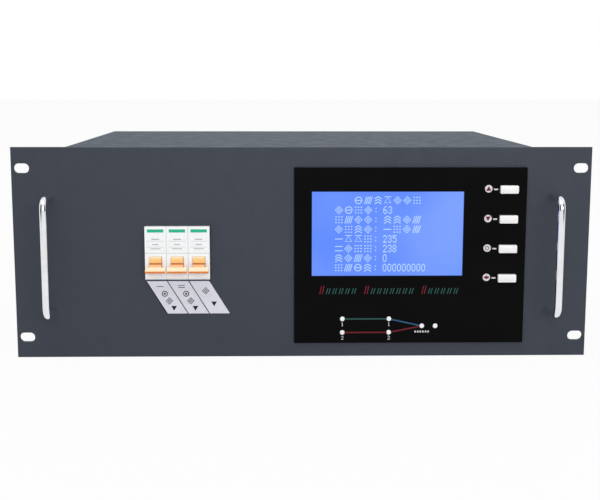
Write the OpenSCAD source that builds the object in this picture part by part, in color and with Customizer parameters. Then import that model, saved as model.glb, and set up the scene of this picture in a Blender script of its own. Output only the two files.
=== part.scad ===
// Rack-mounted static transfer switch, 4 units high.
// Two mains sources enter at the back, a thyristor stage picks one of them,
// and three miniature breakers and a display stand in the front panel.
// +X points right, +Y points to the back, +Z points up. The origin is the centre of
// the rack slot pattern, on the back face of the panel.

/* [Front panel] */
// Width of the panel, which is the 19 inch rack width
panel_w = 482.6; // [470:0.1:500]
// Height of the panel
panel_h = 177.8; // [170:0.1:200]
// Thickness of the panel
panel_t = 3; // [2.5:0.1:5]
// Radius of the panel's front edges
panel_edge_r = 1; // [0.4:0.1:1.5]
// Distance between the left and right rack slots
slot_pitch_x = 465.1; // [460:0.1:470]
// Distance between the lower and upper rack slots
slot_pitch_z = 142.9; // [120:0.1:150]
// End-to-end length of a rack slot
slot_len = 12.8; // [9:0.1:14]
// Width of a rack slot
slot_w = 8; // [6:0.1:8.5]

/* [Chassis] */
// Outer width of the closed chassis
chassis_w = 440; // [438:1:446]
// Depth of the chassis behind the panel
chassis_d = 427; // [420:1:480]
// Step from the panel's top edge down to the chassis cover
cover_drop = 6.8; // [2:0.1:8]
// Thickness of the folded sheet
sheet_t = 1.5; // [1:0.1:2]
// Width of the flanges turned in round the tray's openings
flange_w = 14; // [13:0.5:16]
// Depth of the cover's folded sides
cover_side = 18; // [14:0.5:30]
// Outer radius of the sheet's folds
fold_r = 2.5; // [2.1:0.1:4]
// Play between pieces that slide over each other
fit_gap = 0.2; // [0.1:0.05:0.3]

/* [Handles] */
// Diameter of the handle rod
rod_d = 6; // [5.5:0.1:10]
// Distance between a handle's two legs
handle_pitch = 97; // [80:1:120]
// Distance of each handle from the panel's centre line
handle_x = 209.3; // [205:0.1:211]
// Reach of the grip's centre line in front of the panel
handle_reach = 31; // [25:0.5:45]
// Bend radius of the rod's centre line
bend_r = 9; // [7:0.5:14]

/* [Display] */
// Width of the black gloss overlay
overlay_w = 194.4; // [190:0.1:200]
// Thickness of the overlay
overlay_t = 2; // [1.5:0.1:3]
// Centre of the overlay, across
overlay_x = 90; // [86:0.5:94]
// Bare panel above the overlay
overlay_top_gap = 16.7; // [12:0.1:22]
// Bare panel below the overlay
overlay_low_gap = 12.1; // [8:0.1:18]
// Width of the display window
window_w = 127; // [124:0.5:128]
// Height of the display window
window_h = 71.2; // [67:0.1:73]
// Centre of the display window, across
window_x = 71.1; // [70:0.1:73]
// Centre of the display window, down from the panel's top
window_drop = 72.5; // [70:0.1:75]
// Thickness of the display module, from its face to its board
module_t = 9; // [7:0.5:12]

/* [Keys and lamps] */
// Width of a key cap
key_w = 15; // [12:0.1:16]
// Height of a key cap
key_h = 6.6; // [5:0.1:8]
// Height of a key cap in front of the overlay
key_proud = 3.6; // [2:0.1:5]
// Distance between two keys
key_pitch = 25; // [20:0.1:26]
// Centre of the keys, across
key_x = 172; // [171:0.1:174]
// Centre of the row of keys, down from the panel's top
key_drop = 72.5; // [70:0.1:77]
// Travel of a key
key_travel = 0.8; // [0.4:0.1:1]
// Diameter of a status lamp
lamp_d = 4; // [3:0.1:5]

/* [Breakers] */
// Distance between two breakers on their rail
breaker_pitch = 18; // [17.9:0.1:18.2]
// Width of one breaker case
breaker_w = 17.8; // [17.6:0.1:17.9]
// Height of the breaker's nose
nose_h = 44.6; // [43:0.1:46]
// Height of the whole breaker
breaker_h = 85; // [80:0.5:90]
// Depth from the nose to the rail
breaker_d = 66; // [60:0.5:70]
// Height of the nose in front of the panel
nose_proud = 6; // [4:0.5:12]
// Centre of the group of breakers, across
breaker_x = -104.6; // [-110:0.1:-100]
// Centre of the noses, up
breaker_z = 1; // [-3:0.1:3]
// Radius of the lever's drum
drum_r = 7; // [6:0.1:7.5]
// Width of the lever's drum
drum_w = 10; // [8:0.1:11]
// Length of the lever from its pivot to its tip
lever_len = 15; // [13:0.5:18]
// Angle of the lever below the horizontal when it is off
lever_down = 28; // [20:1:35]

/* [Cooling] */
// Side of a fan's square frame
fan_size = 80; // [70:1:80]
// Depth of a fan
fan_t = 25; // [20:1:32]
// Distance between the two fans
fan_pitch = 92; // [84:1:110]
// Number of blades on a fan
blade_n = 7; // [5:1:9]
// Width of the heatsink
sink_w = 180; // [160:1:200]
// Length of the heatsink along the air
sink_l = 176; // [150:1:200]
// Height of the heatsink
sink_h = 60; // [50:1:70]
// Thickness of the heatsink's base plate
sink_base_t = 10; // [6:0.5:14]
// Number of fins
fin_n = 17; // [9:1:21]
// Thickness of a fin
fin_t = 2; // [1.5:0.1:3]

/* [Power stage] */
// Length of a thyristor module
thyristor_l = 92; // [80:1:96]
// Width of a thyristor module
thyristor_w = 24; // [20:1:30]
// Height of a thyristor module
thyristor_h = 30; // [26:1:34]
// Distance between two thyristor modules
thyristor_pitch = 42; // [38:1:46]
// Width of a copper bar
bar_w = 15; // [12:0.5:18]
// Thickness of a copper bar
bar_t = 3; // [2:0.5:4]

/* [Control and supply] */
// Width of the control board
board_w = 170; // [150:1:180]
// Length of the control board
board_l = 105; // [90:1:110]
// Thickness of every circuit board
board_t = 1.6; // [1.2:0.1:2]
// Height of the control board's pillars
pillar_h = 12; // [8:0.5:20]
// Width of the transformer's laminated core
core_w = 66; // [57:1:76]
// Stack of the transformer's laminations
core_stack = 32; // [24:1:40]

/* [Back connections] */
// Number of poles on the terminal block
pole_n = 6; // [4:1:6]
// Distance between two poles
pole_pitch = 14; // [13:0.5:15]
// Height of the terminal block
block_h = 36; // [32:0.5:44]
// Depth of the terminal block behind the back sheet
block_proud = 14; // [8:0.5:20]

/* [Hidden] */
$fn = 64;
breaker_n = 3;

// Colours, as red, green and blue
paint = [0.26, 0.28, 0.32];
cover_paint = [0.34, 0.38, 0.43];
zinc = [0.72, 0.74, 0.76];
chrome = [0.85, 0.86, 0.88];
gloss_black = [0.05, 0.05, 0.05];
key_white = [0.93, 0.93, 0.92];
case_white = [0.95, 0.95, 0.94];
lever_orange = [0.95, 0.56, 0.14];
screen_blue = [0.39, 0.59, 1];
board_green = [0.1, 0.36, 0.2];
copper = [0.78, 0.45, 0.28];
alloy = [0.8, 0.81, 0.82];
dark_plastic = [0.12, 0.12, 0.13];

// Screws: shank radius, head radius and head height
m3 = [1.5, 2.75, 2];
m4 = [2, 3.8, 2.6];
m5 = [2.5, 4.7, 3.2];
nut_r = 3.9;
nut_h = 3.2;
stud_l = 10;
small_nut_r = 3.1;
small_nut_h = 2.4;
// How far a stud stands past its nut
stud_spare = 1.5;
small_stud_spare = 1;
washer_gap = 0.1;

// Planes of the casing
front_y = -panel_t;
panel_top = panel_h / 2;
floor_out = -panel_h / 2;
floor_z = floor_out + sheet_t;
cover_top = panel_top - cover_drop;
tray_top = cover_top - sheet_t;
tray_w = chassis_w - 2 * sheet_t - 2 * fit_gap;
tray_d = chassis_d - sheet_t;
tray_h = tray_top - floor_out;
tray_mid_z = (tray_top + floor_out) / 2;
edge_x = tray_w / 2 - flange_w / 2;

// Where the panel's welded studs hold the tray's front flanges
flange_stud_inset = 20.9;
flange_stud_z = [floor_out + flange_stud_inset, 0, panel_top - flange_stud_inset];
flange_stud_x = [-170, -10, 170];
flange_top_z = tray_top - flange_w / 2;
flange_low_z = floor_out + flange_w / 2;
// Where the cover's side screws stand along the chassis
cover_screw_y = [for (s = [0.08, 0.36, 0.64, 0.92]) s * chassis_d];
cover_screw_z = cover_top - cover_side / 2 - 1;
rear_screw_inset = 22.9;
rear_screw_z = [floor_out + rear_screw_inset, 0, panel_top - rear_screw_inset];
// Where the rear sheet is screwed to the tray's lower flange
rear_screw_x = [-180, 0, 180];

// Planes of the display
overlay_y = front_y - overlay_t;
overlay_h = panel_h - overlay_top_gap - overlay_low_gap;
overlay_z = (overlay_low_gap - overlay_top_gap) / 2;
window_z = panel_top - window_drop;
key_z = panel_top - key_drop;
lcd_back_y = front_y + module_t;
lcd_w = 146;
lcd_h = 92;
lcd_x = window_x;
lcd_z = window_z - 1;
lcd_board_w = 164;
lcd_board_h = 98;
lcd_lip_t = 0.8;
driver_size = 14;
driver_t = 1.8;
driver_pitch = 25;
driver_rise = 18;
lcd_plug_w = 51;
lcd_plug_h = 5;
lcd_plug_t = 8;
lcd_plug_drop = 42;
lcd_hole_x = lcd_board_w / 2 - 4;
lcd_hole_z = lcd_board_h / 2 - 4;
glass_t = 3;
key_zs = [for (i = [0:3]) key_z + (1.5 - i) * key_pitch];
key_flange_t = 1.4;
key_flange_lip = 1.4;
key_board_y = 8;
key_board_w = 22;
key_board_h = 100;
switch_w = 6;
switch_t = 3.6;
switch_y = key_board_y - switch_t;
stem_r = 1.5;
// Lamps: across, and up from the panel's lower edge
lamp_places = [[33.6, 32.8], [33.6, 21.1], [73.1, 32.8], [73.1, 21.1], [101.1, 26.6], [112.5, 26.6]];
lamp_spots = [for (p = lamp_places) [p[0], floor_out + p[1]]];
lamp_board_y = 5;
lamp_board_w = 104;
lamp_board_h = 18;
lamp_board_x = 73;
lamp_board_z = floor_out + 26.9;
lamp_proud = 0.5;
lamp_rim = 0.6;
lamp_rim_t = 1;
// Sleeves on the panel's small studs: across, up and the plane of the board they carry
board_studs = concat(
    [for (sx = [-1, 1], sz = [-1, 1]) [lcd_x + sx * lcd_hole_x, lcd_z + sz * lcd_hole_z, lcd_back_y]],
    [for (sz = [-1, 1]) [key_x, key_z + sz * (key_board_h / 2 - 4), key_board_y]],
    [for (sx = [-1, 1]) [lamp_board_x + sx * (lamp_board_w / 2 - 5), lamp_board_z, lamp_board_y]]);
sleeve_r = 3;
sleeve_play = 0.15;

// Label strip under the breakers, which leans to the right
label_w = 54;
label_h = 27.8;
label_lean = 17.2;
label_t = 0.5;
label_x = -131.8;
label_top_z = -23.4;

// Breaker planes: the nose face, the shoulders, the rail and the lever's pivot
nose_y = front_y - nose_proud;
shoulder_y = nose_y + 22;
rail_y = nose_y + breaker_d;
pivot_y = nose_y + 5;
pivot_z = breaker_z - 8;
pivot_pin_r = 1.25;
pivot_play = 0.05;
pivot_pin_l = 2.4;
lever_gap = 0.35;
lever_t = 2.2;
paddle_w = 16.4;
paddle_l = 6;
window_gap = 0.6;
rail_h = 35;
rail_inner_h = 27;
rail_depth = 7.5;
rail_t = 1;
bracket_t = 2;
bracket_h = 30;
bracket_in = breaker_n * breaker_pitch + 14;
bracket_foot = 14;
bracket_arm_x = bracket_in / 2 + bracket_t;
bracket_stud_x = bracket_arm_x + bracket_foot / 2;
bracket_stud_z = 8;
rail_l = bracket_in - 2 * fit_gap;
rail_screw_x = rail_l / 2 - 8;
clamp_head_r = 3.2;
clamp_depth = 8;
mouth_w = 7.4;
mouth_d = 8.4;
mouth_deep = 10;
mouth_back = 12;
breaker_xs = [for (i = [0:breaker_n - 1]) breaker_x + (i - (breaker_n - 1) / 2) * breaker_pitch];

// Cooling and power stage
fan_x = [-fan_pitch / 2, fan_pitch / 2];
fan_z = floor_out + flange_w + fit_gap + fan_size / 2;
fan_back_y = tray_d;
fan_y = fan_back_y - fan_t;
fan_hole_pitch = fan_size - 8.5;
fan_screw_l = 12;
fan_bore_r = fan_size / 2 - 2;
fan_hub_r = 16;
fan_tip_gap = 1;
fan_web_t = 3;
fan_pin_r = 1.5;
fan_pin_play = 0.05;
sink_y = fan_y - 14 - sink_l;
sink_top = floor_z + sink_h;
sink_foot_w = 12;
sink_foot_t = 4;
sink_leg_t = 4;
sink_clear = 3;
thyristor_y = sink_y + 10;
thyristor_xs = [for (i = [-1.5, -0.5, 0.5, 1.5]) i * thyristor_pitch];
pad_h = 3;
ear_t = 9;
ear_l = 14;
pad_ys = [for (s = [-1, 0, 1]) thyristor_y + thyristor_l / 2 + s * 20];
pad_l = 15;
bar_z = sink_top + thyristor_h;
ear_hole_y = 7;
tail_l = 68;
tail_hole_back = 9;
link_l = 34;
link_drop = 12;
sensor_w = 44;
sensor_t = 16;
sensor_h = 50;
sensor_foot = 10;
sensor_foot_t = 4;
sensor_y = thyristor_y + thyristor_l + 16;

// Control board, supply and back connections
board_x = 108;
board_y = 48;
board_z = floor_z + pillar_h;
core_x = -150;
core_y = 150;
core_h = core_w * 0.83;
core_leg = core_w / 6;
capacitor_n = 4;
capacitor_r = 8;
capacitor_h = 25;
capacitor_pitch = 18;
relay_n = 4;
relay_pitch = 17;
relay_size = [12.5, 29, 16];
chip_size = [20, 20, 2.2];
header_size = [40, 8, 11];
header_pitch = 46;
relay_y = 68;
capacitor_y = 88;
coil_play = 0.5;
block_w = pole_n * pole_pitch + 12;
block_x = 147;
block_z = -36;
block_in = 18;
block_rim = 5;
block_rim_t = 3;
wire_r = 5;
wire_deep = 22;
clamp_r = 3.5;
clamp_deep = 10;
wire_drop = 8;
clamp_rise = 9;
serial_x = 150;
serial_z = 48;
serial_w = 19;
serial_h = 10.5;
serial_plate_w = 31;
serial_plate_h = 12.6;
serial_screw_x = 12.5;
earth_x = -120;
earth_z = -40;
earth_l = 14;

// Air slots in the tray's sides and the fan guards in the back sheet
vent_n = 14;
vent_pitch = 9;
vent_l = 44;
vent_w = 4;
vent_y = 62;
vent_z = -16;
guard_ring_w = 4.6;
guard_ring_pitch = 7;
guard_spoke_w = 4;

// Threaded bores in the ends of the handle rods
handle_bore = 9;
handle_bore_play = 0.1;

// Screws into the floor: across, along, height of the seat and the screw's size
function floor_screws_at() = concat(
    [for (sx = [-1, 1], y = [sink_y + 15, sink_y + sink_l - 15])
        [sx * (sink_w / 2 + sink_foot_w / 2), y, floor_z + sink_foot_t, m4]],
    [for (sx = [-1, 1]) [core_x + sx * (core_w / 2 + core_foot_w / 2), core_y, floor_z + core_foot_t, m4]]);
core_foot_w = 14;
core_foot_t = 2;

// ---- Shared shapes ----

// A profile drawn in Y and Z, run along X from x0 over a length
module along_x(x0, l) {
    translate([x0, 0, 0]) rotate([90, 0, 90]) linear_extrude(l) children();
}

// A profile drawn in X and Z, run along Y from y0 over a thickness
module along_y(y0, t) {
    translate([0, y0 + t, 0]) rotate([90, 0, 0]) linear_extrude(t) children();
}

// A round bar along Y
module rod_y(x, z, y0, y1, r) {
    translate([x, y1, z]) rotate([90, 0, 0]) cylinder(r = r, h = y1 - y0);
}

// A round bar along X
module rod_x(y, z, x0, x1, r) {
    translate([x0, y, z]) rotate([0, 90, 0]) cylinder(r = r, h = x1 - x0);
}

// A flat rectangle with round corners, about its centre
module soft_rect(w, h, r) {
    square([w - 2 * r, h], center = true);
    square([w, h - 2 * r], center = true);
    for (sx = [-1, 1], sy = [-1, 1])
        translate([sx * (w / 2 - r), sy * (h / 2 - r)]) circle(r);
}

// A flat slot with round ends, its length along the first axis
module round_slot(l, w) {
    square([l - w, w], center = true);
    for (s = [-1, 1]) translate([s * (l - w) / 2, 0]) circle(w / 2);
}

// A pan-head screw standing on the plane z = 0, its shank going down and its head up
module pan_screw(size, l) {
    head_r = size[1];
    head_h = size[2];
    bevel = head_h * 0.4;
    difference() {
        union() {
            translate([0, 0, -l]) cylinder(r = size[0], h = l);
            cylinder(r = head_r, h = head_h - bevel);
            translate([0, 0, head_h - bevel]) cylinder(r1 = head_r, r2 = head_r - bevel, h = bevel);
        }
        for (a = [0, 90]) rotate([0, 0, a])
            translate([-head_r * 0.55, -0.4, head_h * 0.45]) cube([head_r * 1.1, 0.8, head_h]);
    }
}

// A hexagonal nut standing on the plane z = 0
module hex_nut(r, h, bore) {
    difference() {
        cylinder(r = r, h = h, $fn = 6);
        translate([0, 0, -1]) cylinder(r = bore + washer_gap, h = h + 2);
    }
}

// A piece that stands on a plane facing -Y, +Y, -X or +X, built on z = 0 and facing up
module facing_back(x, y, z) {
    translate([x, y, z]) rotate([-90, 0, 0]) children();
}
module facing_front(x, y, z) {
    translate([x, y, z]) rotate([90, 0, 0]) children();
}
module facing_side(x, y, z, s) {
    translate([x, y, z]) rotate([0, s * 90, 0]) children();
}

// ---- Casing ----

// The panel's blank, with its front edges rounded
module panel_blank() {
    intersection() {
        along_x(-panel_w / 2, panel_w) round_nosed(panel_h);
        translate([0, 0, -panel_top]) linear_extrude(panel_h) rotate(90) round_nosed(panel_w);
    }
}

// Section of the panel, its round edges on the -X side
module round_nosed(h) {
    translate([-panel_t + panel_edge_r, -h / 2]) square([panel_t - panel_edge_r, h]);
    translate([-panel_t, -h / 2 + panel_edge_r]) square([panel_t, h - 2 * panel_edge_r]);
    for (s = [-1, 1])
        translate([-panel_t + panel_edge_r, s * (h / 2 - panel_edge_r)]) circle(panel_edge_r);
}

// Openings through the panel, drawn in X and Z
module panel_openings() {
    for (sx = [-1, 1], sz = [-1, 1]) {
        translate([sx * slot_pitch_x / 2, sz * slot_pitch_z / 2]) round_slot(slot_len, slot_w);
        translate([sx * handle_x, sz * handle_pitch / 2]) circle(m4[0] + fit_gap);
    }
    translate([breaker_x, breaker_z])
        square([breaker_n * breaker_pitch + 2 * window_gap, nose_h + 2 * window_gap], center = true);
    translate([lcd_x, lcd_z]) square([lcd_w + 1, lcd_h + 1], center = true);
    key_and_lamp_holes();
}

module key_and_lamp_holes() {
    for (z = key_zs) translate([key_x, z])
        soft_rect(key_w + 2 * fit_gap, key_h + 2 * fit_gap, 0.8);
    for (p = lamp_spots) translate(p) circle(lamp_d / 2 + fit_gap);
}

module front_panel() {
    color(paint) difference() {
        panel_blank();
        along_y(-panel_t - 1, panel_t + 2) panel_openings();
    }
}

// Across and up places of the studs that hold the tray's front flanges
function flange_studs() = concat(
    [for (sx = [-1, 1], z = flange_stud_z) [sx * edge_x, z]],
    [for (x = flange_stud_x, z = [flange_low_z, flange_top_z]) [x, z]]);

// Folded tray: floor, two sides and flanges turned in round the front, back and top
module chassis_tray() {
    color(zinc) difference() {
        along_y(0, tray_d) translate([0, tray_mid_z]) soft_rect(tray_w, tray_h, fold_r);
        along_y(sheet_t, tray_d - 2 * sheet_t) translate([0, tray_mid_z])
            soft_rect(tray_w - 2 * sheet_t, tray_h - 2 * sheet_t, fold_r - sheet_t);
        along_y(-1, tray_d + 2) translate([0, tray_mid_z])
            square([tray_w - 2 * flange_w, tray_h - 2 * flange_w], center = true);
        translate([-tray_w / 2 + flange_w, flange_w, tray_mid_z])
            cube([tray_w - 2 * flange_w, tray_d - 2 * flange_w, tray_h]);
        along_y(-1, sheet_t + 2) {
            for (p = flange_studs()) translate(p) circle(m4[0] + fit_gap);
            for (sx = [-1, 1], sz = [-1, 1])
                translate([sx * handle_x, sz * handle_pitch / 2]) circle(m4[0] + fit_gap);
        }
        along_y(tray_d - sheet_t - 1, sheet_t + 2)
            for (p = rear_screws_at()) translate(p) circle(m4[0] + fit_gap);
        for (sx = [-1, 1], y = cover_screw_y)
            rod_x(y, cover_screw_z, sx * tray_w / 2 - 3, sx * tray_w / 2 + 3, m4[0] + fit_gap);
        for (p = floor_screws_at())
            translate([p[0], p[1], floor_out - 1]) cylinder(r = p[3][0] + fit_gap, h = sheet_t + 2);
        side_vents();
    }
}

// Upright air slots through both sides of the tray
module side_vents() {
    for (s = [-1, 1], i = [0:vent_n - 1]) translate([0, vent_y + i * vent_pitch, vent_z])
        along_x(s * tray_w / 2 - 3, 6) rotate(90) round_slot(vent_l, vent_w);
}

// Cover: a flat top with both sides folded down over the tray
module top_cover() {
    outer_h = cover_side + fold_r;
    color(cover_paint) difference() {
        along_y(0, chassis_d) intersection() {
            translate([0, cover_top - outer_h]) soft_rect(chassis_w, 2 * outer_h, fold_r);
            translate([-chassis_w / 2, cover_top - cover_side]) square([chassis_w, cover_side]);
        }
        along_y(-1, chassis_d + 2) translate([0, cover_top - sheet_t - outer_h])
            soft_rect(chassis_w - 2 * sheet_t, 2 * outer_h, fold_r - sheet_t);
        for (sx = [-1, 1], y = cover_screw_y)
            rod_x(y, cover_screw_z, sx * chassis_w / 2 - 3, sx * chassis_w / 2 + 3, m4[0] + fit_gap);
    }
}

// Across and up places of the back sheet's screws
function rear_screws_at() = concat(
    [for (sx = [-1, 1], z = rear_screw_z) [sx * edge_x, z]],
    [for (x = rear_screw_x) [x, flange_low_z]]);

// Ring slots of one fan guard, parted by four spokes
module fan_guard_slots() {
    difference() {
        for (r = [10:guard_ring_pitch:fan_bore_r - guard_ring_w]) difference() {
            circle(r + guard_ring_w);
            circle(r);
        }
        for (a = [45, 135]) rotate(a) square([2 * fan_size, guard_spoke_w], center = true);
    }
}

// Outline of the serial socket's shell, wider at its top
module d_outline(w, h) {
    lean = 1.2;
    polygon([[-w / 2, h / 2], [w / 2, h / 2], [w / 2 - lean, -h / 2], [-w / 2 + lean, -h / 2]]);
}

module rear_panel() {
    color(cover_paint) difference() {
        along_y(tray_d, sheet_t) translate([0, tray_mid_z]) soft_rect(tray_w, tray_h, fold_r);
        along_y(tray_d - 1, sheet_t + 2) {
            for (x = fan_x) translate([x, fan_z]) fan_guard_slots();
            for (x = fan_x, sx = [-1, 1], sz = [-1, 1])
                translate([x + sx * fan_hole_pitch / 2, fan_z + sz * fan_hole_pitch / 2])
                    circle(m4[0] + fit_gap);
            for (p = rear_screws_at()) translate(p) circle(m4[0] + fit_gap);
            translate([block_x, block_z])
                square([block_w + 2 * fit_gap, block_h + 2 * fit_gap], center = true);
            translate([serial_x, serial_z]) d_outline(serial_w + 1, serial_h + 1);
            for (s = [-1, 1]) translate([serial_x + s * serial_screw_x, serial_z]) circle(m3[0] + fit_gap);
        }
    }
}

// Stud for the protective earth on the back sheet
module earth_stud() {
    color(zinc) rod_y(earth_x, earth_z, chassis_d, chassis_d + earth_l, m5[0]);
}

// Screws through the cover's sides and the back sheet into the tray
module case_screws() {
    color(zinc) {
        for (s = [-1, 1], y = cover_screw_y)
            facing_side(s * chassis_w / 2, y, cover_screw_z, s) pan_screw(m4, 6);
        for (p = rear_screws_at()) facing_back(p[0], chassis_d, p[1]) pan_screw(m4, 6);
    }
}

// A stud welded to the panel's back, and a nut on what it holds
module stud_and_nut(place, grip, size, nut_size, nut_thick, spare) {
    rod_y(place[0], place[1], 0, grip + nut_thick + spare, size[0]);
    facing_back(place[0], grip, place[1]) hex_nut(nut_size, nut_thick, size[0] / 2);
}

// Every welded stud on the panel's back, with its nut
module panel_studs() {
    color(zinc) {
        for (p = flange_studs()) stud_and_nut(p, sheet_t, m4, nut_r, nut_h, stud_spare);
        for (sx = [-1, 1], sz = [-1, 1])
            stud_and_nut([breaker_x + sx * bracket_stud_x, breaker_z + sz * bracket_stud_z],
                bracket_t, m4, nut_r, nut_h, stud_spare);
        for (p = board_studs)
            stud_and_nut(p, p[2] + board_t, m3, small_nut_r, small_nut_h, small_stud_spare);
    }
}

// Quarter bend between a handle's upper leg and its grip
module rod_bend(half) {
    translate([0, front_y - handle_reach + bend_r, half - bend_r]) rotate([0, -90, 0])
        rotate([180, 0, 0]) rotate_extrude(angle = 90) translate([bend_r, 0]) circle(rod_d / 2);
}

// One handle: a round rod bent twice, standing on the panel's front face
module handle() {
    half = handle_pitch / 2;
    difference() {
        union() {
            for (s = [-1, 1]) {
                rod_y(0, s * half, front_y - handle_reach + bend_r, front_y, rod_d / 2);
            }
            rod_bend(half);
            mirror([0, 0, 1]) rod_bend(half);
            translate([0, front_y - handle_reach, -half + bend_r])
                cylinder(r = rod_d / 2, h = 2 * (half - bend_r));
        }
        for (s = [-1, 1])
            rod_y(0, s * half, front_y - handle_bore, front_y + 1, m4[0] + handle_bore_play);
    }
}

module handle_left() {
    color(chrome) translate([-handle_x, 0, 0]) handle();
}

module handle_right() {
    color(chrome) translate([handle_x, 0, 0]) handle();
}

// Screws through the tray's flange and the panel into the handle rods
module handle_screws() {
    color(zinc) for (sx = [-1, 1], sz = [-1, 1])
        facing_back(sx * handle_x, sheet_t, sz * handle_pitch / 2)
            pan_screw(m4, sheet_t + panel_t + handle_bore - 1.5);
}

// ---- Display and keys ----

module display_overlay() {
    color(gloss_black) difference() {
        along_y(overlay_y, overlay_t) translate([overlay_x, overlay_z])
            soft_rect(overlay_w, overlay_h, 0.8);
        along_y(overlay_y - 1, overlay_t + 2) {
            translate([window_x, window_z]) square([window_w, window_h], center = true);
            key_and_lamp_holes();
        }
    }
}

// Stamped frame of the display module, open at its back
module lcd_bezel() {
    wall = 1;
    color(dark_plastic) difference() {
        along_y(front_y, module_t) translate([lcd_x, lcd_z]) square([lcd_w, lcd_h], center = true);
        along_y(front_y + lcd_lip_t, module_t) translate([lcd_x, lcd_z])
            square([lcd_w - 2 * wall, lcd_h - 2 * wall], center = true);
        along_y(front_y - 1, module_t) translate([window_x, window_z])
            square([window_w + 2, window_h + 2], center = true);
    }
}

module lcd_glass() {
    color(screen_blue) along_y(front_y + lcd_lip_t, glass_t) translate([lcd_x, lcd_z])
        square([lcd_w - 3, lcd_h - 3], center = true);
}

module lcd_backlight() {
    depth = module_t - lcd_lip_t - glass_t;
    color(case_white) along_y(lcd_back_y - depth, depth) translate([lcd_x, lcd_z])
        square([lcd_w - 3, lcd_h - 3], center = true);
}

// Display board with its driver chips and connector on the back
module lcd_board() {
    color(board_green) difference() {
        along_y(lcd_back_y, board_t) translate([lcd_x, lcd_z])
            square([lcd_board_w, lcd_board_h], center = true);
        board_stud_holes();
    }
    color(dark_plastic) {
        for (i = [-2:2])
            along_y(lcd_back_y + board_t, driver_t) translate([lcd_x + i * driver_pitch, lcd_z + driver_rise])
                square([driver_size, driver_size], center = true);
        along_y(lcd_back_y + board_t, lcd_plug_t) translate([lcd_x, lcd_z - lcd_plug_drop])
            square([lcd_plug_w, lcd_plug_h], center = true);
    }
}

// Clearance for the studs through the boards behind the panel
module board_stud_holes() {
    for (p = board_studs) rod_y(p[0], p[1], p[2] - 1, p[2] + board_t + 1, m3[0] + fit_gap);
}

// Sleeves that hold the boards off the panel
module panel_spacers() {
    color(zinc) for (p = board_studs) difference() {
        rod_y(p[0], p[1], 0, p[2], sleeve_r);
        rod_y(p[0], p[1], -1, p[2] + 1, m3[0] + sleeve_play);
    }
}

module keypad_board() {
    color(board_green) difference() {
        along_y(key_board_y, board_t) translate([key_x, key_z])
            square([key_board_w, key_board_h], center = true);
        board_stud_holes();
    }
}

// Four tact switches on the keypad board, each with a well for its key's stem
module key_switches() {
    well = key_travel + 1.4;
    color(dark_plastic) for (z = key_zs) difference() {
        along_y(switch_y, switch_t) translate([key_x, z]) square([switch_w, switch_w], center = true);
        rod_y(key_x, z, switch_y - 1, switch_y + well, stem_r + 0.3);
    }
}

// Key cap with a retaining flange behind the panel and a stem into its switch
module key(i) {
    cap_y = overlay_y - key_proud;
    bevel = 0.6;
    color(key_white) translate([0, 0, key_zs[i]]) {
        along_y(cap_y + bevel, -cap_y - bevel + 0.1) translate([key_x, 0]) soft_rect(key_w, key_h, 0.7);
        intersection() {
            along_y(cap_y, bevel) translate([key_x, 0]) soft_rect(key_w, key_h, 0.7);
            key_crown(cap_y);
        }
        along_y(0.1, key_flange_t) translate([key_x, 0])
            soft_rect(key_w + 2 * key_flange_lip, key_h + 2 * key_flange_lip, 0.7);
        rod_y(key_x, 0, 0.1 + key_flange_t, switch_y + 0.6, stem_r);
    }
}

// A wide shallow barrel that rounds a key's face
module key_crown(cap_y) {
    crown_r = 14;
    rod_x(cap_y + crown_r, 0, key_x - key_w, key_x + key_w, crown_r);
}

module button_1() { key(0); }
module button_2() { key(1); }
module button_3() { key(2); }
module button_4() { key(3); }

// Six lamps on their board, each with a rim and a low dome
module status_lamps() {
    color(key_white) for (p = lamp_spots) {
        rod_y(p[0], p[1], overlay_y, lamp_board_y, lamp_d / 2);
        rod_y(p[0], p[1], lamp_board_y - lamp_rim_t, lamp_board_y, lamp_d / 2 + lamp_rim);
        facing_front(p[0], overlay_y, p[1])
            cylinder(r1 = lamp_d / 2, r2 = lamp_d / 2 - lamp_proud, h = lamp_proud);
    }
}

module lamp_board() {
    color(board_green) difference() {
        along_y(lamp_board_y, board_t) translate([lamp_board_x, lamp_board_z])
            square([lamp_board_w, lamp_board_h], center = true);
        board_stud_holes();
    }
}

// Flat label strip on the panel, leaning to the right
module label_strip() {
    color([0.86, 0.87, 0.9]) along_y(front_y - label_t, label_t)
        translate([label_x, label_top_z])
        polygon([[0, 0], [label_w, 0], [label_w + label_lean, -label_h], [label_lean, -label_h]]);
}

// ---- Breakers ----

// Side outline of a breaker case, in Y and Z about the nose's centre
module breaker_outline() {
    nose = nose_h / 2;
    body = breaker_h / 2;
    hook_y = rail_y + rail_t + 0.15;
    back_y = hook_y + 2;
    seat_h = rail_h / 2 + 0.2;
    hook_h = rail_h / 2 - 2;
    corner = 1.2;
    polygon([[nose_y + corner, nose], [shoulder_y, nose], [shoulder_y, body], [back_y, body],
        [back_y, hook_h], [hook_y, hook_h], [hook_y, seat_h], [rail_y, seat_h],
        [rail_y, -seat_h], [hook_y, -seat_h], [hook_y, -hook_h], [back_y, -hook_h],
        [back_y, -body], [shoulder_y, -body], [shoulder_y, -nose], [nose_y + corner, -nose],
        [nose_y, -nose + corner], [nose_y, nose - corner]]);
}

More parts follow.
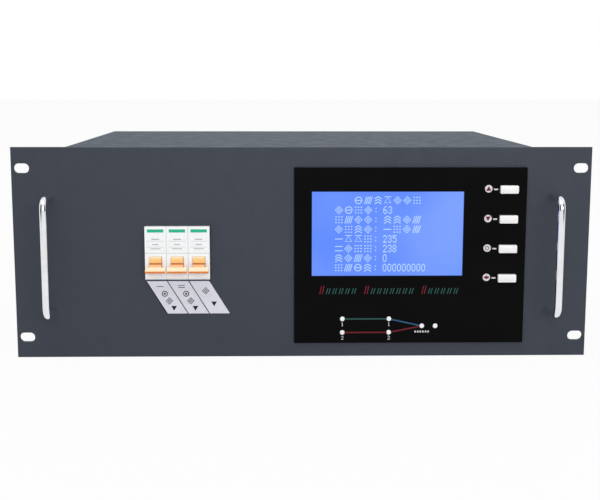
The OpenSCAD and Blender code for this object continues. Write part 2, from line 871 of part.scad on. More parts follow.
// Breaker case with its lever slot, pivot bores, clamp wells and cable mouths
module breaker_case(x) {
    inner = lever_pin_half() + 0.2;
    color(case_white) translate([x, 0, breaker_z]) difference() {
        along_x(-breaker_w / 2, breaker_w) breaker_outline();
        translate([0, 0, -breaker_z]) {
            rod_x(pivot_y, pivot_z, -drum_w / 2 - 0.3, drum_w / 2 + 0.3, drum_r + lever_gap);
            rod_x(pivot_y, pivot_z, -inner, inner, pivot_pin_r + pivot_play);
        }
        for (s = [-1, 1]) {
            rod_y(0, s * clamp_z(), shoulder_y - 1, shoulder_y + clamp_depth, clamp_head_r + 0.3);
            translate([-mouth_w / 2, shoulder_y + mouth_back, s * breaker_h / 2 - mouth_deep])
                cube([mouth_w, mouth_d, 2 * mouth_deep]);
        }
    }
}

function lever_pin_half() = drum_w / 2 + pivot_pin_l;
function clamp_z() = (nose_h + breaker_h) / 4;

// Lever: a drum on two pivot pins, an arm and a wide finger bar
module breaker_lever(x) {
    color(lever_orange) translate([x, pivot_y, pivot_z]) rotate([lever_down, 0, 0]) {
        rod_x(0, 0, -drum_w / 2, drum_w / 2, drum_r);
        rod_x(0, 0, -lever_pin_half(), lever_pin_half(), pivot_pin_r);
        along_x(-drum_w / 2, drum_w) polygon([[-drum_r + 1.5, 2.6], [-lever_len + paddle_l, lever_t / 2],
            [-lever_len + paddle_l, -lever_t / 2], [-drum_r + 1.5, -2.6]]);
        along_x(-paddle_w / 2, paddle_w) {
            translate([-lever_len + lever_t / 2, -lever_t / 2]) square([paddle_l - lever_t / 2, lever_t]);
            translate([-lever_len + lever_t / 2, 0]) circle(lever_t / 2);
        }
    }
}

module breaker_1() { breaker_case(breaker_xs[0]); }
module breaker_2() { breaker_case(breaker_xs[1]); }
module breaker_3() { breaker_case(breaker_xs[2]); }
module breaker_lever_1() { breaker_lever(breaker_xs[0]); }
module breaker_lever_2() { breaker_lever(breaker_xs[1]); }
module breaker_lever_3() { breaker_lever(breaker_xs[2]); }

// Slotted clamp screws at the bottom of the breakers' wells
module breaker_clamp_screws() {
    head_t = 4;
    seat_y = shoulder_y + clamp_depth;
    color(zinc) for (x = breaker_xs, s = [-1, 1]) difference() {
        rod_y(x, breaker_z + s * clamp_z(), seat_y - head_t, seat_y, clamp_head_r);
        translate([x - clamp_head_r - 1, seat_y - head_t - 1, breaker_z + s * clamp_z() - 0.5])
            cube([2 * clamp_head_r + 2, 2.2, 1]);
    }
}

// Top-hat rail with its two lips towards the breakers
module din_rail() {
    lip = rail_h / 2;
    hat = rail_inner_h / 2;
    hat_y = rail_y + rail_depth;
    color(zinc) difference() {
        along_x(breaker_x - rail_l / 2, rail_l) translate([0, breaker_z])
            polygon([[rail_y, lip], [rail_y, hat - rail_t], [hat_y - rail_t, hat - rail_t],
                [hat_y - rail_t, rail_t - hat], [rail_y, rail_t - hat], [rail_y, -lip],
                [rail_y + rail_t, -lip], [rail_y + rail_t, -hat], [hat_y, -hat], [hat_y, hat],
                [rail_y + rail_t, hat], [rail_y + rail_t, lip]]);
        for (s = [-1, 1]) rod_y(breaker_x + s * rail_screw_x, breaker_z, hat_y - rail_t - 1, hat_y + 1,
            m4[0] + fit_gap);
    }
}

// Folded bracket that carries the rail from the panel
module rail_bracket() {
    back_y = rail_y + rail_depth;
    color(zinc) difference() {
        translate([breaker_x, 0, breaker_z - bracket_h / 2]) linear_extrude(bracket_h) {
            for (s = [-1, 1]) {
                translate([s * (bracket_arm_x - bracket_t / 2) - bracket_t / 2, 0])
                    square([bracket_t, back_y + bracket_t]);
                translate([s * bracket_stud_x - bracket_foot / 2, 0]) square([bracket_foot, bracket_t]);
            }
            translate([-bracket_arm_x, back_y]) square([2 * bracket_arm_x, bracket_t]);
        }
        for (sx = [-1, 1], sz = [-1, 1])
            rod_y(breaker_x + sx * bracket_stud_x, breaker_z + sz * bracket_stud_z, -1, bracket_t + 1,
                m4[0] + fit_gap);
        for (s = [-1, 1]) rod_y(breaker_x + s * rail_screw_x, breaker_z, back_y - 1,
            back_y + bracket_t + 1, m4[0] + fit_gap);
    }
}

// Screws that hold the rail on its bracket, put in from the front
module rail_screws() {
    color(zinc) for (s = [-1, 1])
        facing_front(breaker_x + s * rail_screw_x, rail_y + rail_depth - rail_t, breaker_z)
            pan_screw(m4, 6);
}

// ---- Power stage ----

// Extruded heatsink: a base plate on top, fins below it and two legs with feet
module heatsink() {
    leg_x = sink_w / 2;
    fin_span = sink_w - 2 * sink_leg_t;
    fin_pitch = fin_span / (fin_n + 1);
    color(alloy) difference() {
        along_y(sink_y, sink_l) {
            translate([-leg_x, sink_top - sink_base_t]) square([sink_w, sink_base_t]);
            for (i = [1:fin_n])
                translate([-fin_span / 2 + i * fin_pitch - fin_t / 2, floor_z + sink_clear])
                    square([fin_t, sink_h - sink_clear]);
            for (s = [-1, 1]) {
                translate([s * (leg_x - sink_leg_t / 2) - sink_leg_t / 2, floor_z])
                    square([sink_leg_t, sink_h]);
                translate([s * (leg_x + sink_foot_w / 2 - 0.5) - sink_foot_w / 2 - 0.5, floor_z])
                    square([sink_foot_w + 1, sink_foot_t]);
            }
        }
        for (p = floor_screws_at()) screw_hole(p);
        for (x = thyristor_xs, y = ear_ys())
            translate([x, y, sink_top - sink_base_t - 1]) cylinder(r = m5[0] + fit_gap, h = sink_base_t + 2);
        for (s = [-1, 1]) translate([thyristor_xs[0] + s * sensor_screw_x(), sensor_y + sensor_t / 2,
            sink_top - sink_base_t - 1]) cylinder(r = m5[0] + fit_gap, h = sink_base_t + 2);
    }
}

function ear_ys() = [thyristor_y + ear_hole_y, thyristor_y + thyristor_l - ear_hole_y];
function sensor_screw_x() = sensor_w / 2 + sensor_foot / 2;

// Clearance for one floor screw through the piece that it holds
module screw_hole(p) {
    translate([p[0], p[1], floor_out - 1]) cylinder(r = p[3][0] + fit_gap, h = p[2] - floor_out + 2);
}

// One thyristor module: a moulded block with two ears and three raised terminals
module thyristor(x) {
    top = thyristor_h - pad_h;
    lean = 2;
    color(dark_plastic) difference() {
        union() {
            translate([0, 0, sink_top]) along_x(x - thyristor_w / 2, thyristor_w)
                polygon([[thyristor_y, 0], [thyristor_y + thyristor_l, 0],
                    [thyristor_y + thyristor_l, ear_t], [thyristor_y + thyristor_l - ear_l, ear_t],
                    [thyristor_y + thyristor_l - ear_l - lean, top], [thyristor_y + ear_l + lean, top],
                    [thyristor_y + ear_l, ear_t], [thyristor_y, ear_t]]);
            for (y = pad_ys) translate([x, y, sink_top + top]) linear_extrude(pad_h)
                soft_rect(thyristor_w - 6, pad_l, 1);
        }
        for (y = ear_ys()) translate([x, y, sink_top - 1]) cylinder(r = m5[0] + fit_gap, h = ear_t + 2);
        for (y = pad_ys) translate([x, y, bar_z - 9]) cylinder(r = m5[0] + fit_gap, h = 10);
    }
}

module thyristor_1() { thyristor(thyristor_xs[0]); }
module thyristor_2() { thyristor(thyristor_xs[1]); }
module thyristor_3() { thyristor(thyristor_xs[2]); }
module thyristor_4() { thyristor(thyristor_xs[3]); }

// Copper bar across the output terminals of two modules, with a tail to the back
module output_bar(x0, x1, tail_x) {
    y = pad_ys[2];
    color(copper) translate([0, 0, bar_z]) linear_extrude(bar_t) difference() {
        union() {
            translate([x0 - bar_w / 2, y - bar_w / 2]) square([x1 - x0 + bar_w, bar_w]);
            translate([tail_x - bar_w / 2, y]) square([bar_w, tail_l - bar_w / 2]);
            translate([tail_x, y + tail_l - bar_w / 2]) circle(bar_w / 2);
        }
        for (x = [x0, x1]) translate([x, y]) circle(m5[0] + fit_gap);
        translate([tail_x, y + tail_l - tail_hole_back]) circle(m5[0] + fit_gap);
    }
}

module line_bar() { output_bar(thyristor_xs[0], thyristor_xs[1], thyristor_xs[0]); }
module neutral_bar() { output_bar(thyristor_xs[2], thyristor_xs[3], thyristor_xs[3]); }

// Cranked copper links on the modules' input terminals
module input_links() {
    y = pad_ys[0];
    front = y - link_l;
    half = bar_w / 2;
    color(copper) for (x = thyristor_xs) difference() {
        along_x(x - half, bar_w) polygon([[y + half, bar_z], [y + half, bar_z + bar_t],
            [y - half - 2, bar_z + bar_t], [y - half - 2 - link_drop, bar_z + bar_t + link_drop],
            [front, bar_z + bar_t + link_drop], [front, bar_z + link_drop],
            [y - half - 2 - link_drop - 1, bar_z + link_drop], [y - half - 3, bar_z]]);
        translate([x, y, bar_z - 1]) cylinder(r = m5[0] + fit_gap, h = bar_t + 2);
        translate([x, front + 6, bar_z + link_drop - 1]) cylinder(r = m5[0] + fit_gap, h = bar_t + 2);
    }
}

// Every screw of the power stage: module ears, terminals and the sensor's feet
module power_screws() {
    color(zinc) {
        for (x = thyristor_xs, y = ear_ys()) translate([x, y, sink_top + ear_t]) pan_screw(m5, ear_t + 8);
        for (x = thyristor_xs) {
            for (y = [pad_ys[0], pad_ys[2]]) translate([x, y, bar_z + bar_t]) pan_screw(m5, bar_t + 7);
            translate([x, pad_ys[1], bar_z]) pan_screw(m5, 7);
        }
        for (s = [-1, 1]) translate([thyristor_xs[0] + s * sensor_screw_x(), sensor_y + sensor_t / 2,
            sink_top + sensor_foot_t]) pan_screw(m5, sensor_foot_t + 8);
    }
}

// Block-type current sensor: the line bar's tail runs through its window
module current_sensor() {
    color(dark_plastic) difference() {
        union() {
            along_y(sensor_y, sensor_t) translate([thyristor_xs[0], sink_top + sensor_h / 2])
                soft_rect(sensor_w, sensor_h, 2);
            translate([thyristor_xs[0] - sensor_w / 2 - sensor_foot, sensor_y, sink_top])
                cube([sensor_w + 2 * sensor_foot, sensor_t, sensor_foot_t]);
        }
        along_y(sensor_y - 1, sensor_t + 2) translate([thyristor_xs[0], bar_z + bar_t / 2])
            square([bar_w + 2, bar_t + 3], center = true);
        for (s = [-1, 1]) translate([thyristor_xs[0] + s * sensor_screw_x(), sensor_y + sensor_t / 2,
            sink_top - 1]) cylinder(r = m5[0] + fit_gap, h = sensor_foot_t + 2);
    }
}

// ---- Control board and supply ----

// The control board's four corner holes
function pillar_spots() = [for (sx = [-1, 1], sy = [0, 1])
    [board_x + sx * (board_w / 2 - 5), board_y + 5 + sy * (board_l - 10)]];
module control_board() {
    top = board_z + board_t;
    color(board_green) difference() {
        translate([board_x - board_w / 2, board_y, board_z]) cube([board_w, board_l, board_t]);
        for (p = pillar_spots()) translate([p[0], p[1], board_z - 1])
            cylinder(r = m3[0] + fit_gap, h = board_t + 2);
    }
    color(dark_plastic) {
        translate([board_x - 8, board_y + 42, top]) cube(chip_size);
        for (i = [0:3]) translate([board_x - 50 + i * 12, board_y + 44, top]) cube([8, 17, 3]);
    }
    color(case_white) for (i = [0:2])
        translate([board_x - 66 + i * header_pitch, board_y + 4, top]) cube(header_size);
}

module board_pillars() {
    color(zinc) for (p = pillar_spots()) translate([p[0], p[1], floor_z]) difference() {
        cylinder(r = sleeve_r, h = pillar_h, $fn = 6);
        translate([0, 0, pillar_h - 8]) cylinder(r = m3[0] + sleeve_play, h = 9);
    }
}

module board_capacitors() {
    color([0.15, 0.2, 0.35]) for (i = [0:capacitor_n - 1])
        translate([board_x + 13 + i * capacitor_pitch, board_y + capacitor_y, board_z + board_t]) {
            cylinder(r = capacitor_r, h = capacitor_h - 1);
            translate([0, 0, capacitor_h - 1]) cylinder(r1 = capacitor_r, r2 = capacitor_r - 1, h = 1);
        }
}

module board_relays() {
    color([0.1, 0.25, 0.5]) for (i = [0:relay_n - 1])
        translate([board_x - 70 + i * relay_pitch, board_y + relay_y, board_z + board_t]) cube(relay_size);
}

// Screws into the floor and down through the control board
module floor_screws() {
    color(zinc) {
        for (p = floor_screws_at())
            translate([p[0], p[1], p[2]]) pan_screw(p[3], p[2] - floor_z + sheet_t - 0.2);
        for (p = pillar_spots()) translate([p[0], p[1], board_z + board_t]) pan_screw(m3, board_t + 6);
    }
}

// Laminated core with two windows, on two feet
module transformer_core() {
    color([0.36, 0.38, 0.4]) difference() {
        union() {
            along_y(core_y - core_stack / 2, core_stack) difference() {
                translate([core_x - core_w / 2, floor_z + core_foot_t]) square([core_w, core_h]);
                for (s = [-1, 1]) translate([core_x + s * core_leg * 1.5, floor_z + core_foot_t + core_h / 2])
                    square([core_leg, core_h - 2 * core_leg], center = true);
            }
            translate([core_x - core_w / 2 - core_foot_w, core_y - core_stack / 2, floor_z])
                cube([core_w + 2 * core_foot_w, core_stack, core_foot_t]);
        }
        for (p = floor_screws_at()) screw_hole(p);
    }
}

// Winding round the core's middle leg
module transformer_coil() {
    bottom = floor_z + core_foot_t + core_leg;
    height = core_h - 2 * core_leg;
    bulge = core_leg - coil_play;
    color([0.85, 0.65, 0.2]) translate([core_x, core_y, bottom]) linear_extrude(height) difference() {
        soft_rect(2 * core_leg + 2 * bulge, core_stack + 2 * bulge, 3);
        square([2 * core_leg + 2 * coil_play, core_stack + 2 * coil_play], center = true);
    }
}

// ---- Cooling ----

// Square fan frame with a round bore, four struts and a bearing tube
module fan_frame(x) {
    strut_w = 4;
    hub_y = fan_back_y - fan_web_t;
    color(dark_plastic) {
        along_y(fan_y, fan_t) translate([x, fan_z]) difference() {
            soft_rect(fan_size, fan_size, 3);
            circle(fan_bore_r);
            for (sx = [-1, 1], sz = [-1, 1])
                translate([sx * fan_hole_pitch / 2, sz * fan_hole_pitch / 2]) circle(m4[0] + fit_gap);
        }
        difference() {
            along_y(hub_y, fan_web_t) translate([x, fan_z]) {
                circle(fan_hub_r);
                intersection() {
                    for (a = [0, 90]) rotate(a) square([2 * fan_bore_r + 1, strut_w], center = true);
                    circle(fan_bore_r + 0.5);
                }
            }
            rod_y(x, fan_z, hub_y - 1, hub_y + fan_web_t - 0.8, fan_pin_r + fan_pin_play);
        }
    }
}

// Rotor: a hub cup, cambered blades set at a pitch and the shaft
module fan_rotor(x) {
    front = fan_y + 1;
    back = fan_back_y - fan_web_t - 1;
    depth = back - front;
    tip_r = fan_bore_r - fan_tip_gap;
    color(dark_plastic) translate([x, front, fan_z]) {
        rod_y(0, 0, 0, depth, fan_hub_r);
        rod_y(0, 0, depth - 1, depth + 1 + fan_web_t - 1.2, fan_pin_r);
        intersection() {
            difference() {
                rod_y(0, 0, 0.5, depth - 0.5, tip_r);
                rod_y(0, 0, 0, depth, fan_hub_r - 1);
            }
            for (i = [0:blade_n - 1]) rotate([0, i * 360 / blade_n, 0]) fan_blade(depth);
        }
    }
}

// One blade: an arc-shaped section in X and Y, run outwards along Z
module fan_blade(depth) {
    blade_t = 1.8;
    curve_r = depth * 1.25;
    translate([-curve_r * 0.8, depth / 2 + curve_r * 0.35, fan_hub_r - 3]) linear_extrude(fan_bore_r)
        intersection() {
            difference() {
                circle(curve_r);
                circle(curve_r - blade_t);
            }
            translate([0, -curve_r]) square([curve_r, curve_r * 1.3]);
        }
}

module fan_frame_1() { fan_frame(fan_x[0]); }
module fan_frame_2() { fan_frame(fan_x[1]); }
module fan_rotor_1() { fan_rotor(fan_x[0]); }
module fan_rotor_2() { fan_rotor(fan_x[1]); }

module fan_screws() {
    color(zinc) for (x = fan_x, sx = [-1, 1], sz = [-1, 1])
        facing_back(x + sx * fan_hole_pitch / 2, chassis_d, fan_z + sz * fan_hole_pitch / 2)
            pan_screw(m4, fan_screw_l);
}

// ---- Back connections ----

// Across places of the terminal block's poles
function pole_xs() = [for (i = [0:pole_n - 1]) block_x + (i - (pole_n - 1) / 2) * pole_pitch];

// Feed-through terminal block with a rim against the back sheet
module terminal_block() {
    back = chassis_d + block_proud;
    color([0.2, 0.2, 0.21]) difference() {
        union() {
            along_y(chassis_d - block_in, block_in + block_proud) translate([block_x, block_z])
                square([block_w, block_h], center = true);
            along_y(chassis_d, block_rim_t) translate([block_x, block_z])
                soft_rect(block_w + 2 * block_rim, block_h + 2 * block_rim, 2);
        }
        for (x = pole_xs()) {
            rod_y(x, block_z - wire_drop, back - wire_deep, back + 1, wire_r);
            rod_y(x, block_z + clamp_rise, back - clamp_deep, back + 1, clamp_r + 0.3);
        }
    }
}
// Slotted clamp screws at the bottom of the block's wells
module terminal_clamps() {
    seat_y = chassis_d + block_proud - clamp_deep;
    head_t = 5;
    color(zinc) for (x = pole_xs()) difference() {
        rod_y(x, block_z + clamp_rise, seat_y, seat_y + head_t, clamp_r);
        translate([x - clamp_r - 1, seat_y + head_t - 1.2, block_z + clamp_rise - 0.5])
            cube([2 * clamp_r + 2, 2.2, 1]);
    }
}

// Serial socket: a plate behind the back sheet, a shell through it and nine contacts
module serial_socket() {
    shell_l = 6;
    body_t = 8;
    color(zinc) difference() {
        union() {
            along_y(tray_d - 1, 1) translate([serial_x, serial_z])
                soft_rect(serial_plate_w, serial_plate_h, 1);
            along_y(tray_d, sheet_t + shell_l) translate([serial_x, serial_z])
                d_outline(serial_w - 1, serial_h - 1);
            along_y(tray_d - body_t, body_t) translate([serial_x, serial_z])
                square([serial_w - 1, serial_h - 1], center = true);
            for (s = [-1, 1]) rod_y(serial_x + s * serial_screw_x, serial_z, tray_d, chassis_d + 5, m3[0]);
        }
        for (i = [-2:2]) rod_y(serial_x + i * 2.7, serial_z + 1.4, chassis_d, chassis_d + shell_l + 1, 0.6);
        for (i = [-1.5:1:1.5])
            rod_y(serial_x + i * 2.7, serial_z - 1.4, chassis_d, chassis_d + shell_l + 1, 0.6);
    }
}

front_panel();
chassis_tray();
top_cover();
rear_panel();
handle_left();
handle_right();
handle_screws();
case_screws();
earth_stud();
panel_studs();
display_overlay();
lcd_glass();
lcd_backlight();
lcd_bezel();
lcd_board();
panel_spacers();
keypad_board();
key_switches();
button_1();
button_2();
button_3();
button_4();
status_lamps();
lamp_board();
breaker_1();
breaker_2();
breaker_3();
breaker_lever_1();
breaker_lever_2();
breaker_lever_3();
breaker_clamp_screws();
din_rail();
rail_bracket();
rail_screws();
label_strip();
heatsink();
thyristor_1();
thyristor_2();
thyristor_3();
thyristor_4();
line_bar();
neutral_bar();
input_links();
power_screws();
current_sensor();
control_board();
board_pillars();
board_capacitors();
board_relays();
floor_screws();
transformer_core();
transformer_coil();
fan_frame_1();
fan_frame_2();
fan_rotor_1();
fan_rotor_2();
fan_screws();
terminal_block();
terminal_clamps();
serial_socket();
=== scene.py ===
"""Looks of the rack static transfer switch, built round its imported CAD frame.

+X points right along the panel, +Y to the back, +Z up, and lengths are in metres
unless a name ends in _mm. The CAD gives the shapes; this script gives the finishes,
the printed marks, the lit screen, the light and the camera.
"""
import math
import random

import bmesh
import bpy
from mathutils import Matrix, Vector


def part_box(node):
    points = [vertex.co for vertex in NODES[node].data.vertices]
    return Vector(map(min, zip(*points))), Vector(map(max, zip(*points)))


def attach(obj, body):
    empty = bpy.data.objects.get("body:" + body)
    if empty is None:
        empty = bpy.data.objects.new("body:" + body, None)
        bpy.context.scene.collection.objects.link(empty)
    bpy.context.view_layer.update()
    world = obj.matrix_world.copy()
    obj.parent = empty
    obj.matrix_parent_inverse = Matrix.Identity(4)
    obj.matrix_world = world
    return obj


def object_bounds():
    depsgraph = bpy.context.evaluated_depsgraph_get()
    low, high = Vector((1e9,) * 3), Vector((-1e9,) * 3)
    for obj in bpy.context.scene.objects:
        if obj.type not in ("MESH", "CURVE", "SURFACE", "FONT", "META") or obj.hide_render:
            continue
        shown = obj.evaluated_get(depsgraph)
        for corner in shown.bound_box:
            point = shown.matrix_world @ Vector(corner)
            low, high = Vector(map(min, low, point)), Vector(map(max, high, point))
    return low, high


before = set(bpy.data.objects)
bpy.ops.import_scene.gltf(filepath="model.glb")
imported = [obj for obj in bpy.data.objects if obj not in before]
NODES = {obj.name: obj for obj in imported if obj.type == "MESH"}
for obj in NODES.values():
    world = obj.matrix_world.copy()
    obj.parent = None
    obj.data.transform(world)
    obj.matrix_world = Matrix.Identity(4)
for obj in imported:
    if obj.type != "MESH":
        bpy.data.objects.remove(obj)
CAD_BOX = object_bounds()
MM = 0.001
SEED = 7
BODY = "chassis"

# ---- Camera, from the photograph's viewing angle ----

CAMERA_AT = Vector((-0.0216, -0.9136, 0.1440))
CAMERA_YAW = math.radians(1.216)
CAMERA_PITCH = math.radians(8.815)
CAMERA_ROLL = math.radians(0.073)
SENSOR_W_MM = 36
LENS_MM = 65.88


def make_camera():
    forward = Vector((math.sin(CAMERA_YAW) * math.cos(CAMERA_PITCH),
                      math.cos(CAMERA_YAW) * math.cos(CAMERA_PITCH),
                      -math.sin(CAMERA_PITCH)))
    data = bpy.data.cameras.new("camera")
    data.sensor_width = SENSOR_W_MM
    data.lens = LENS_MM
    data.clip_end = 60
    camera = bpy.data.objects.new("camera", data)
    bpy.context.scene.collection.objects.link(camera)
    camera.location = CAMERA_AT
    camera.rotation_euler = forward.to_track_quat("-Z", "Y").to_euler()
    camera.rotation_euler.rotate_axis("Z", CAMERA_ROLL)
    bpy.context.scene.camera = camera


# ---- Colours, written as 0 to 255 in sRGB ----

def linear(value):
    c = value / 255
    return c / 12.92 if c <= 0.04045 else ((c + 0.055) / 1.055) ** 2.4


def colour(r, g, b):
    return (linear(r), linear(g), linear(b), 1)


PANEL_GREY = colour(55, 60, 71)
COVER_GREY = colour(66, 77, 90)
ZINC = colour(196, 199, 203)
CHROME = colour(232, 233, 236)
OVERLAY_BLACK = colour(10, 10, 11)
KEY_WHITE = colour(240, 239, 238)
CASE_WHITE = colour(243, 245, 246)
LEVER_ORANGE = colour(240, 140, 38)
# Painted highlight for the levers' upward faces
LEVER_LIT = colour(255, 240, 205)
LAMP_WHITE = colour(248, 248, 248)
LABEL_GREY = colour(219, 220, 230)
BOARD_GREEN = colour(26, 84, 50)
BLACK_PLASTIC = colour(30, 30, 32)
COPPER = colour(196, 120, 78)
ALLOY = colour(196, 198, 201)
SCREEN_BLUE = colour(92, 136, 255)
SCREEN_EDGE = colour(142, 196, 255)
SCREEN_TEXT = colour(188, 219, 255)
MARK_TEAL = colour(40, 92, 84)
MARK_RED = colour(120, 22, 30)


# ---- Materials ----

class Finish:
    """A procedural material: a Principled shader with grain in its colour, gloss and bump."""

    def __init__(self, name, base, roughness, metallic=0.0, specular=0.5):
        self.material = bpy.data.materials.new(name)
        self.material.use_nodes = True
        self.tree = self.material.node_tree
        self.shader = self.tree.nodes["Principled BSDF"]
        self.base = base
        self.set("Base Color", base)
        self.set("Roughness", roughness)
        self.set("Metallic", metallic)
        self.set("Specular IOR Level", specular)
        coords = self.tree.nodes.new("ShaderNodeTexCoord")
        self.place = coords.outputs["Object"]

    def set(self, socket, value):
        self.shader.inputs[socket].default_value = value

    def node(self, kind, **inputs):
        made = self.tree.nodes.new(kind)
        for name, value in inputs.items():
            self.put(made, name.replace("_", " "), value)
        return made

    def put(self, node, name, value):
        socket = node.inputs[name]
        if isinstance(value, bpy.types.NodeSocket):
            self.tree.links.new(value, socket)
        else:
            socket.default_value = value

    def noise(self, size, detail=2.0, stretch=(1, 1, 1)):
        """Noise whose blobs are about that size, in metres, stretched along the axes."""
        mapping = self.node("ShaderNodeMapping", Vector=self.place)
        mapping.inputs["Scale"].default_value = [1 / s for s in stretch]
        return self.node("ShaderNodeTexNoise", Vector=mapping.outputs[0], Scale=1 / size,
                         Detail=detail).outputs["Fac"]

    def remap(self, value, low, high, start=0.3, end=0.7):
        made = self.node("ShaderNodeMapRange", Value=value)
        for name, number in (("From Min", start), ("From Max", end), ("To Min", low), ("To Max", high)):
            made.inputs[name].default_value = number
        return made.outputs[0]

    def mix(self, factor, first, second):
        made = self.tree.nodes.new("ShaderNodeMix")
        made.data_type = "RGBA"
        self.put(made, 0, factor)
        self.put(made, 6, first)
        self.put(made, 7, second)
        return made.outputs[2]

    def shade(self, base, share):
        """The colour made darker or lighter by a share."""
        return tuple(min(1, c * share) for c in base[:3]) + (1,)

    def mottle(self, size, amount, detail=2.0, stretch=(1, 1, 1)):
        """Lighter and darker patches in the base colour."""
        grain = self.remap(self.noise(size, detail, stretch), 0, 1)
        base = self.mix(grain, self.shade(self.base, 1 - amount), self.shade(self.base, 1 + amount))
        self.tree.links.new(base, self.shader.inputs["Base Color"])
        return base

    def polish(self, size, low, high, stretch=(1, 1, 1)):
        """Roughness that wanders between two values."""
        self.tree.links.new(self.remap(self.noise(size, 3, stretch), low, high),
                            self.shader.inputs["Roughness"])

    def bump(self, size, height, detail=2.0, stretch=(1, 1, 1)):
        made = self.node("ShaderNodeBump", Height=self.noise(size, detail, stretch))
        made.inputs["Distance"].default_value = height
        made.inputs["Strength"].default_value = 1
        self.tree.links.new(made.outputs[0], self.shader.inputs["Normal"])

    def painted_edge_highlight(self, base, edge, width, strength):
        """A painted highlight: a lighter colour where the surface bends sharply."""
        soft = self.node("ShaderNodeBevel")
        soft.inputs["Radius"].default_value = width
        soft.samples = 4
        geometry = self.tree.nodes.new("ShaderNodeNewGeometry")
        dot = self.tree.nodes.new("ShaderNodeVectorMath")
        dot.operation = "DOT_PRODUCT"
        self.put(dot, 0, soft.outputs[0])
        self.put(dot, 1, geometry.outputs["Normal"])
        mask = self.remap(dot.outputs["Value"], strength, 0, 0.75, 0.995)
        self.tree.links.new(self.mix(mask, base, edge), self.shader.inputs["Base Color"])


def powder_coat(name, base, specular):
    """Fine-textured stove paint with a faint orange peel and a thin painted highlight along its edges."""
    finish = Finish(name, base, 0.5, specular=specular)
    mottled = finish.mottle(0.9 * MM, 0.10, 3)
    # Edges get a painted highlight, half again as bright as the paint
    finish.painted_edge_highlight(mottled, finish.shade(base, 1.5), 0.5 * MM, 0.5)
    finish.polish(14 * MM, 0.44, 0.58)
    finish.bump(0.8 * MM, 0.03 * MM, 2)
    return finish.material


def bright_metal(name, base, roughness, streak=(1, 1, 1)):
    finish = Finish(name, base, roughness, metallic=1)
    finish.mottle(6 * MM, 0.05, 3, streak)
    finish.polish(3 * MM, roughness * 0.7, roughness * 1.4, streak)
    finish.bump(0.7 * MM, 0.002 * MM, 2, streak)
    return finish.material


def moulded(name, base, roughness, grain=0.03, specular=0.5):
    """Moulded plastic with a faint flow pattern and a fine satin grain."""
    finish = Finish(name, base, roughness, specular=specular)
    finish.mottle(5 * MM, grain, 3)
    finish.polish(4 * MM, roughness * 0.8, roughness * 1.25)
    finish.bump(0.35 * MM, 0.006 * MM, 2)
    return finish.material


def gloss_sheet(name, base):
    """Polished black acrylic with a slow waviness and a little dust."""
    finish = Finish(name, base, 0.12, specular=0.03)
    finish.mottle(30 * MM, 0.15, 4)
    finish.polish(22 * MM, 0.08, 0.2)
    finish.bump(60 * MM, 0.02 * MM, 1)
    return finish.material


def lever_plastic(name):
    """Orange plastic with painted light: a painted highlight on its upward faces, and painted bands of
    highlight and shade up its drum.
    """
    finish = Finish(name, LEVER_ORANGE, 0.35)
    spot = finish.node("ShaderNodeSeparateXYZ", Vector=finish.place)
    # Painted highlight and painted shade in bands up the drum
    bands = finish.tree.nodes.new("ShaderNodeValToRGB")
    finish.put(bands, "Fac", finish.remap(spot.outputs["Z"], 0, 1, DRUM_LOW * MM, DRUM_HIGH * MM))
    bands.color_ramp.elements.remove(bands.color_ramp.elements[1])
    for i, (share, shade) in enumerate(DRUM_PAINTED_LIGHT):
        stop = bands.color_ramp.elements[0] if i == 0 else bands.color_ramp.elements.new(share)
        stop.position = share
        stop.color = shade
    grain = finish.remap(finish.noise(2 * MM, 3), 0, 1)
    base = finish.mix(grain, bands.outputs["Color"], LEVER_ORANGE)
    base = finish.mix(DRUM_FADE, base, bands.outputs["Color"])
    geometry = finish.tree.nodes.new("ShaderNodeNewGeometry")
    facing = finish.node("ShaderNodeSeparateXYZ", Vector=geometry.outputs["Normal"])
    # Upward faces get a painted highlight, mixed towards the pale LEVER_LIT
    upward = finish.remap(facing.outputs["Z"], 0, 1, 0.55, 0.85)
    finish.tree.links.new(finish.mix(upward, base, LEVER_LIT), finish.shader.inputs["Base Color"])
    finish.bump(0.3 * MM, 0.006 * MM, 2)
    return finish.material


def print_ink(name, base):
    """Matt screen-printed ink with an uneven edge to its gloss."""
    finish = Finish(name, base, 0.5, specular=0.2)
    finish.mottle(0.6 * MM, 0.12, 3)
    finish.polish(2 * MM, 0.4, 0.6)
    return finish.material


def lit_print(name, base, strength):
    """Ink or dots that the screen's backlight shines through."""
    finish = Finish(name, (0, 0, 0, 1), 0.5, specular=0.1)
    grain = finish.remap(finish.noise(0.8 * MM, 2), 0, 1)
    glow = finish.mix(grain, finish.shade(base, 0.94), finish.shade(base, 1.06))
    finish.tree.links.new(glow, finish.shader.inputs["Emission Color"])
    finish.set("Emission Strength", strength)
    return finish.material


